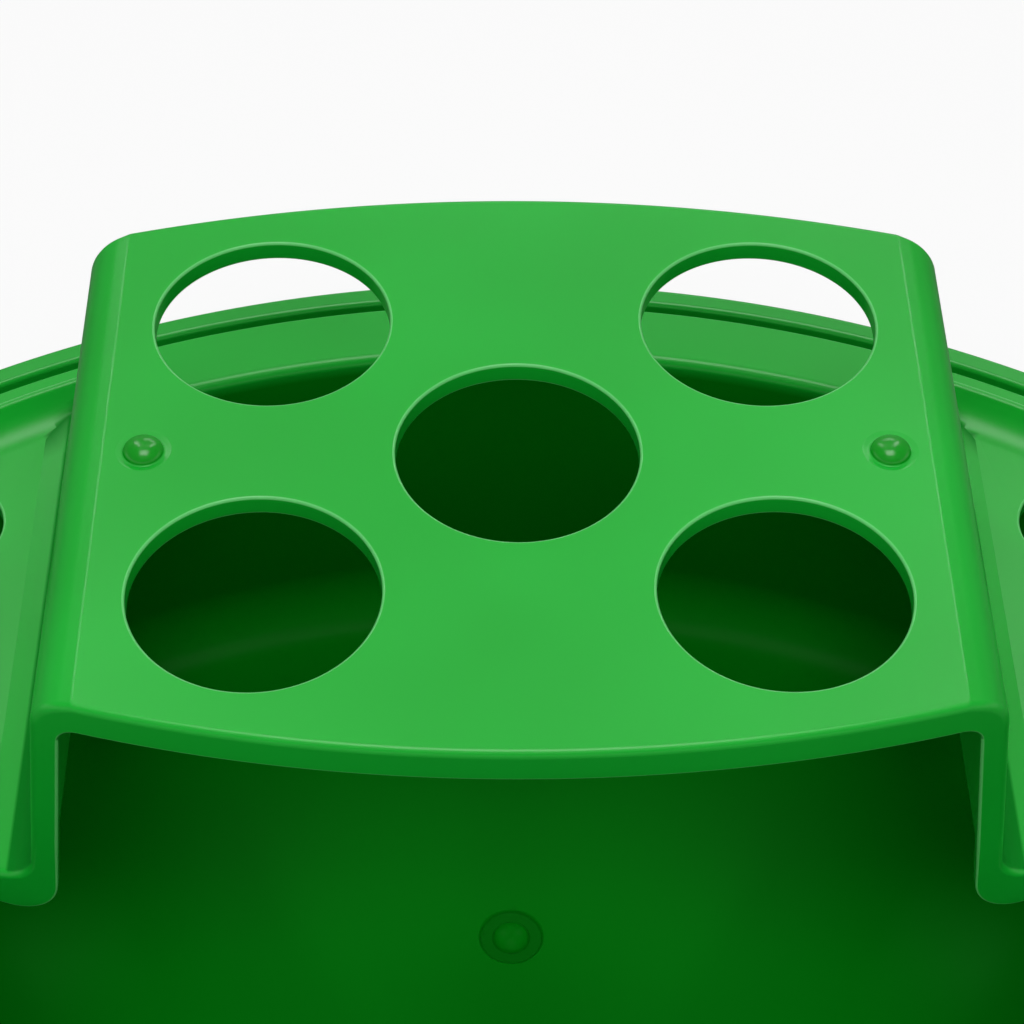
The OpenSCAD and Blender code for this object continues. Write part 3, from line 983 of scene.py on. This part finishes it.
# Soft studio light: a large panel overhead and a narrow strip behind each side. The front panel
# only lights the front and leaves no reflection. Lengths are in metres, power in watts.
lamps = [
    {"name": "overhead panel", "place": (0.0, -0.05, 1.7), "size": (0.8, 0.7), "power": 10.5},
    {"name": "front panel", "place": (0.0, -0.55, 0.9), "size": (0.9, 0.3), "power": 3.5,
     "mirrored": False},
    {"name": "back strip", "place": (0.15, 1.5, 0.9), "size": (0.7, 0.12), "power": 1.8},
    {"name": "left strip", "place": (-0.95, 1.75, 1.95), "size": (0.12, 1.3), "power": 6.5},
    {"name": "right strip", "place": (0.95, 1.75, 1.95), "size": (0.12, 1.3), "power": 6.5},
]


# An area lamp that points at the middle of the object
def addLamp(lamp):
    data = bpy.data.lights.new(lamp["name"], "AREA")
    data.shape, data.energy = "RECTANGLE", lamp["power"]
    data.size, data.size_y = lamp["size"]
    made = bpy.data.objects.new(lamp["name"], data)
    made.location = lamp["place"]
    made.visible_glossy = lamp.get("mirrored", True)
    aim = Vector((0, 0, 0.1)) - made.location
    made.rotation_euler = aim.to_track_quat("-Z", "Y").to_euler()
    bpy.context.scene.collection.objects.link(made)


# Dim room with a white backdrop, as steps: a name, an operation and what it takes, which are
# numbers, earlier steps or the direction's x, y and z. SMOOTHSTEP takes a value, the start and
# end of its ramp, and the strengths before and after. The room is brighter where y plus 0.6 z
# is larger. Two soft wings with a dimmer middle hang behind the part, where |x| is up to about
# 0.4 times y. They grow brighter with height and end below the zenith. The front and the sides
# have a low bright band above the horizon.
roomSteps = [
    ("across", "MULTIPLY_ADD", "z", 0.6, "y"),
    ("room", "SMOOTHSTEP", "across", -0.7, 0.05, 0.08, 0.25),
    ("width", "ABSOLUTE", "x"),
    ("depth", "MAXIMUM", "y", 0.01),
    ("aside", "DIVIDE", "width", "depth"),
    ("middle", "SMOOTHSTEP", "aside", 0.05, 0.25, 0.3, 1.25),
    ("sides", "SMOOTHSTEP", "aside", 0.38, 0.5, 1, 0),
    ("wings", "MULTIPLY", "middle", "sides"),
    ("foot", "SMOOTHSTEP", "z", 0.66, 0.82, 0.1, 1),
    ("top", "SMOOTHSTEP", "z", 0.86, 0.95, 1, 0),
    ("height", "MULTIPLY", "foot", "top"),
    ("low", "SMOOTHSTEP", "z", 0.2, 0.45, 0.7, 0),
    ("front", "SMOOTHSTEP", "y", 0.1, 0.5, 1, 0),
    ("band", "MULTIPLY", "low", "front"),
    ("backdrop", "MULTIPLY_ADD", "wings", "height", "band"),
    ("light", "ADD", "room", "backdrop"),
]


# The object is lit by the steps' last sum, and the camera sees the room plain white.
def makeRoom():
    world = bpy.data.worlds.new("studio room")
    world.use_nodes = True
    tree = world.node_tree
    tree.nodes.clear()
    direction = addNode(tree, "ShaderNodeTexCoord").outputs["Generated"]
    parts = addNode(tree, "ShaderNodeSeparateXYZ", {"Vector": direction}).outputs
    made = {"x": parts["X"], "y": parts["Y"], "z": parts["Z"]}
    rampInputs = ("Value", "From Min", "From Max", "To Min", "To Max")
    for name, operation, *terms in roomSteps:
        terms = [made.get(term, term) for term in terms]
        if operation == "SMOOTHSTEP":
            inputs = dict(zip(rampInputs, terms))
            made[name] = addNode(tree, "ShaderNodeMapRange", inputs, interpolation_type=operation)
        else:
            made[name] = addNode(tree, "ShaderNodeMath", dict(enumerate(terms)), operation=operation)
    path = addNode(tree, "ShaderNodeLightPath").outputs
    rays = {0: path["Is Camera Ray"], 1: path["Is Transmission Ray"]}
    seen = addNode(tree, "ShaderNodeMath", rays, operation="MAXIMUM")
    strength = addNode(tree, "ShaderNodeMix", {"Factor": seen, "A": made["light"], "B": 1.0})
    back = addNode(tree, "ShaderNodeBackground", {"Color": (1, 1, 1, 1), "Strength": strength})
    addNode(tree, "ShaderNodeOutputWorld", {"Surface": back})
    bpy.context.scene.world = world


# Camera: close view from the front and above, nearly square to the deck. Lengths are in
# millimetres and angles in degrees.
camera = {
    "place": (-8.65, -366.3, 550.4),
    "elevation": 47.08,
    "yaw": -1.16,
    "roll": 0.8365,
    "lens": 98.24,
    "sensor": 36,
}


# Back is the direction from the aim to the camera, and the roll turns right into up.
def makeCamera():
    elevation, yaw, roll = (math.radians(camera[k]) for k in ("elevation", "yaw", "roll"))
    back = Vector((math.sin(yaw) * math.cos(elevation), -math.cos(yaw) * math.cos(elevation),
                   math.sin(elevation)))
    right = Vector((math.cos(yaw), math.sin(yaw), 0))
    up = back.cross(right)
    level = right * math.cos(roll) + up * math.sin(roll)
    upright = up * math.cos(roll) - right * math.sin(roll)
    data = bpy.data.cameras.new("camera")
    data.sensor_fit, data.sensor_width, data.lens = "HORIZONTAL", camera["sensor"], camera["lens"]
    data.clip_start, data.clip_end = 0.01, 50  # metres
    made = bpy.data.objects.new("camera", data)
    turn = Matrix((level, upright, back)).transposed().to_4x4()
    place = Vector(camera["place"]) * millimetre
    made.matrix_world = Matrix.Translation(place) @ turn
    bpy.context.scene.collection.objects.link(made)
    bpy.context.scene.camera = made


print("camera, floor and lights")
makeCamera()
makeFloor()
makeRoom()
for lamp in lamps:
    addLamp(lamp)

# Places painted darker as painted shade: middle, distances from it and least height, which is a little
# below their floor. The basin's is the dish round its boss, and the tray's are its pips.
boss, pip, below = basin["boss"], tray["pip"], 1
paintedShadeMarks = {
    "basin": ((0, 0), (boss["diameter"] / 2, (boss["dish"] - boss["slope"]) / 2),
              basin["ledge"] - basin["depth"] - boss["depth"] - below),
    "tray": ((tray["pipX"], tray["middle"]), (0, pip["diameter"] / 2), deckTop - pip["depth"] - below),
}
pieces = [
    (makePot, "pot", "outer_pot", "pot_plastic"),
    (makeBasin, "basin", "inner_basin", "basin_plastic"),
    (makeTray, "tray", "planting_tray", "tray_plastic"),
]
for make, body, node, slot in pieces:
    print("piece", node)
    piece = make()
    fixNormals(piece)
    storeBends(piece)
    if body in paintedShadeMarks:
        storeMark(piece, *paintedShadeMarks[body])
    smoothShade(piece)
    piece.data.materials.clear()
    piece.data.materials.append(makePolypropylene(body))
    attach(piece, body)
    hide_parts(node)

bpy.context.scene.view_settings.view_transform = "Standard"
print("done")
